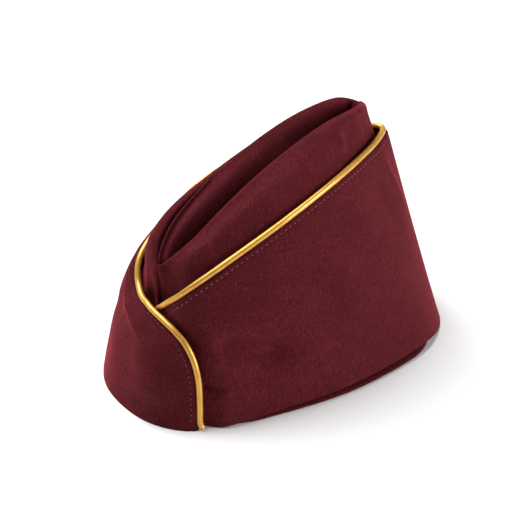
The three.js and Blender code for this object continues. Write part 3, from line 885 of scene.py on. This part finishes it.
class Material:
    """A node material with short calls for its nodes and links."""

    def __init__(self, name):
        self.material = bpy.data.materials.new(name)
        self.material.use_nodes = True
        self.tree = self.material.node_tree
        self.shader = self.tree.nodes["Principled BSDF"]

    def node(self, kind, **settings):
        made = self.tree.nodes.new("ShaderNode" + kind)
        for name, value in settings.items():
            setattr(made, name, value)
        return made

    def link(self, source, target):
        self.tree.links.new(source, target)

    def mapped(self, scale=(1, 1, 1), angle=0):
        """The flat cloth's own coordinates, turned and then scaled."""
        places = self.node("UVMap", uv_map=UV_NAME)
        turned = self.node("Mapping")
        turned.inputs["Rotation"].default_value = (0, 0, angle)
        self.link(places.outputs["UV"], turned.inputs["Vector"])
        scaled = self.node("Mapping")
        scaled.inputs["Scale"].default_value = scale
        self.link(turned.outputs["Vector"], scaled.inputs["Vector"])
        return scaled.outputs["Vector"]

    def bands(self, pitch, angle):
        """Soft parallel bands with a pitch in metres across the cloth."""
        made = self.node("TexWave", wave_type="BANDS", bands_direction="X")
        made.inputs["Scale"].default_value = WAVE_PERIOD / pitch
        for name, value in WEAVE.items():
            made.inputs[name].default_value = value
        self.link(self.mapped(angle=angle), made.inputs["Vector"])
        return made.outputs["Fac"]

    def noise(self, size, detail=2, stretch=(1, 1, 1), angle=0):
        """Noise with patches of about a size in metres."""
        made = self.node("TexNoise")
        made.inputs["Scale"].default_value = 1 / size
        made.inputs["Detail"].default_value = detail
        self.link(self.mapped(stretch, angle), made.inputs["Vector"])
        return made.outputs["Fac"]

    def noises(self, table):
        return {name: self.noise(**settings) for name, settings in table.items()}

    def math(self, operation, first, second):
        made = self.node("Math", operation=operation)
        for socket, value in zip(made.inputs, (first, second)):
            if isinstance(value, (int, float)):
                socket.default_value = value
            else:
                self.link(value, socket)
        return made.outputs[0]

    def weighted(self, sources, weights):
        """Sum of the named sources times their weights."""
        total = 0
        for name, weight in weights.items():
            total = self.math("ADD", self.math("MULTIPLY", sources[name], weight), total)
        return total

    def coloured(self, source, stops):
        """Gives the surface the colours of a ramp, whose stops are (place, linear colour)."""
        made = self.node("ValToRGB")
        elements = made.color_ramp.elements
        stops = list(stops)
        while len(elements) < len(stops):
            elements.new(0.5)
        for element, (place, colour) in zip(elements, stops):
            element.position = place
            element.color = colour
        self.link(source, made.inputs["Fac"])
        self.link(made.outputs["Color"], self.shader.inputs["Base Color"])

    def bump(self, source, height, strength=1):
        made = self.node("Bump")
        made.inputs["Distance"].default_value = height
        made.inputs["Strength"].default_value = strength
        self.link(source, made.inputs["Height"])
        self.link(made.outputs["Normal"], self.shader.inputs["Normal"])

    def set(self, **values):
        for name, value in values.items():
            self.shader.inputs[name.replace("_", " ").title().replace("Ior", "IOR")].default_value = value


def screen_stops(colours):
    return [(place, srgb(*colour)) for place, colour in colours]


def cloth_material():
    cloth = Material("burgundy_twill")
    loose = []
    for angle in (YARN_ANGLE, RIB_ANGLE):
        hair = cloth.noise(**HAIR, angle=angle)
        loose.append(cloth.math("MAXIMUM", cloth.math("SUBTRACT", hair, HAIR_FROM), 0))
    marks = {
        "ribs": cloth.bands(RIB_PITCH, RIB_ANGLE),
        "yarns": cloth.bands(YARN_PITCH, YARN_ANGLE),
        "hairs": cloth.math("ADD", *loose),
        **cloth.noises(CLOTH_NOISE),
    }
    cloth.coloured(cloth.weighted(marks, CLOTH_TONE), screen_stops(CLOTH_COLOURS))
    cloth.bump(cloth.weighted(marks, CLOTH_RELIEF), height=0.0004, strength=0.7)
    cloth.set(roughness=0.95, specular_ior_level=0.1, sheen_weight=0.9, sheen_roughness=0.35)
    cloth.set(sheen_tint=srgb(*CLOTH_SHEEN))
    return cloth.material


def gold_material():
    gold = Material("gold_satin")
    marks = gold.noises(GOLD_NOISE)
    gold.coloured(gold.weighted(marks, GOLD_TONE), screen_stops(GOLD_COLOURS))
    gold.bump(gold.weighted(marks, GOLD_RELIEF), height=0.0002, strength=0.3)
    gold.set(metallic=0.4, roughness=0.32)
    return gold.material


def thread_material(name, colour):
    thread = Material(name)
    twist = thread.noise(TWIST_SIZE)
    red, green, blue, alpha = srgb(*colour)
    shade = (TWIST_SHADE * red, TWIST_SHADE * green, TWIST_SHADE * blue, alpha)
    thread.coloured(twist, zip(TWIST_STOPS, (shade, (red, green, blue, alpha))))
    thread.bump(twist, height=0.0001)
    thread.set(roughness=0.7, sheen_weight=0.2)
    return thread.material


# Studio

def studio():
    bpy.ops.mesh.primitive_plane_add(size=FLOOR_SIZE)
    floor = bpy.context.object
    floor.name = "floor"
    paper = Material("white_paper")
    paper.set(base_color=(FLOOR_GREY, FLOOR_GREY, FLOOR_GREY, 1), roughness=0.9, specular_ior_level=0.1)
    floor.data.materials.append(paper.material)

    scene = bpy.context.scene
    scene.view_settings.view_transform = "Standard"
    world = bpy.data.worlds.new("studio")
    world.use_nodes = True
    background = world.node_tree.nodes["Background"]
    background.inputs["Color"].default_value = (1, 1, 1, 1)
    background.inputs["Strength"].default_value = WORLD_STRENGTH
    scene.world = world
    for light in SOFT_LIGHTS:
        soft_light(**light)


def soft_light(name, azimuth, elevation, size, power):
    """A square light at LIGHT_DISTANCE from the cap, turned towards it."""
    a, e = math.radians(azimuth), math.radians(elevation)
    away = np.array([math.sin(a) * math.cos(e), -math.cos(a) * math.cos(e), math.sin(e)])
    side = unit(np.cross(UP, away))
    data = bpy.data.lights.new(name, "AREA")
    data.size = size
    data.energy = power
    lamp = bpy.data.objects.new(name, data)
    lamp.matrix_world = placed(side, np.cross(away, side), away, away * LIGHT_DISTANCE)
    bpy.context.scene.collection.objects.link(lamp)


def placed(right, up, back, place):
    matrix = np.eye(4)
    matrix[:3, 0], matrix[:3, 1], matrix[:3, 2], matrix[:3, 3] = right, up, back, place
    return Matrix(matrix.tolist())


def camera_axes():
    a, e = CAMERA_AZIMUTH, CAMERA_ELEVATION
    back = np.array([math.sin(a) * math.cos(e), -math.cos(a) * math.cos(e), math.sin(e)])
    right = np.array([math.cos(a), math.sin(a), 0])
    return right, np.cross(back, right), back


def camera():
    right, up, back = camera_axes()
    data = bpy.data.cameras.new("camera")
    data.lens = CAMERA_LENS
    data.sensor_width = SENSOR_WIDTH
    place = CAMERA_ASIDE[0] * right + CAMERA_ASIDE[1] * up + CAMERA_DISTANCE * back
    thing = bpy.data.objects.new("camera", data)
    thing.matrix_world = placed(right, up, back, place * MM)
    bpy.context.scene.collection.objects.link(thing)
    bpy.context.scene.camera = thing


# Assembly

def dress(thing, material, slot, *nodes):
    thing.data.materials.append(material)
    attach(thing, BODY)
    if nodes:
        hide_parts(*nodes)


cloth = cloth_material()
crown = crown_face()
crown_left, crown_gusset, crown_right = crown_pieces(crown)
welt_edge = tube_mesh("welt_edge", welt_route(crown), WELT_EDGE["radius"], PIPING_SIDES)
curtain_left, curtain_right = left_curtain(), right_curtain()
piping = tube_mesh("piping_cord", piping_route(), PIPING_RADIUS, PIPING_SIDES)
dress(crown_left, cloth, "cloth", "crown_left_panel")
dress(crown_gusset, cloth, "cloth", "crown_top_gusset")
dress(crown_right, cloth, "cloth", "crown_right_panel")
dress(curtain_left, cloth, "cloth", "curtain_left")
dress(curtain_right, cloth, "cloth", "curtain_right")
dress(piping, gold_material(), "piping", "piping")
dress(welt_edge, cloth, "cloth")
mauve = thread_material("mauve_thread", PALE_THREAD)
dark_red = thread_material("dark_red_thread", DARK_THREAD)
left_stitches, right_stitches = edge_stitches()
dress(left_stitches, mauve, "cloth")
dress(right_stitches, dark_red, "cloth")
flap_row = flap_stitches()
dress(flap_row, dark_red, "cloth")

studio()
camera()
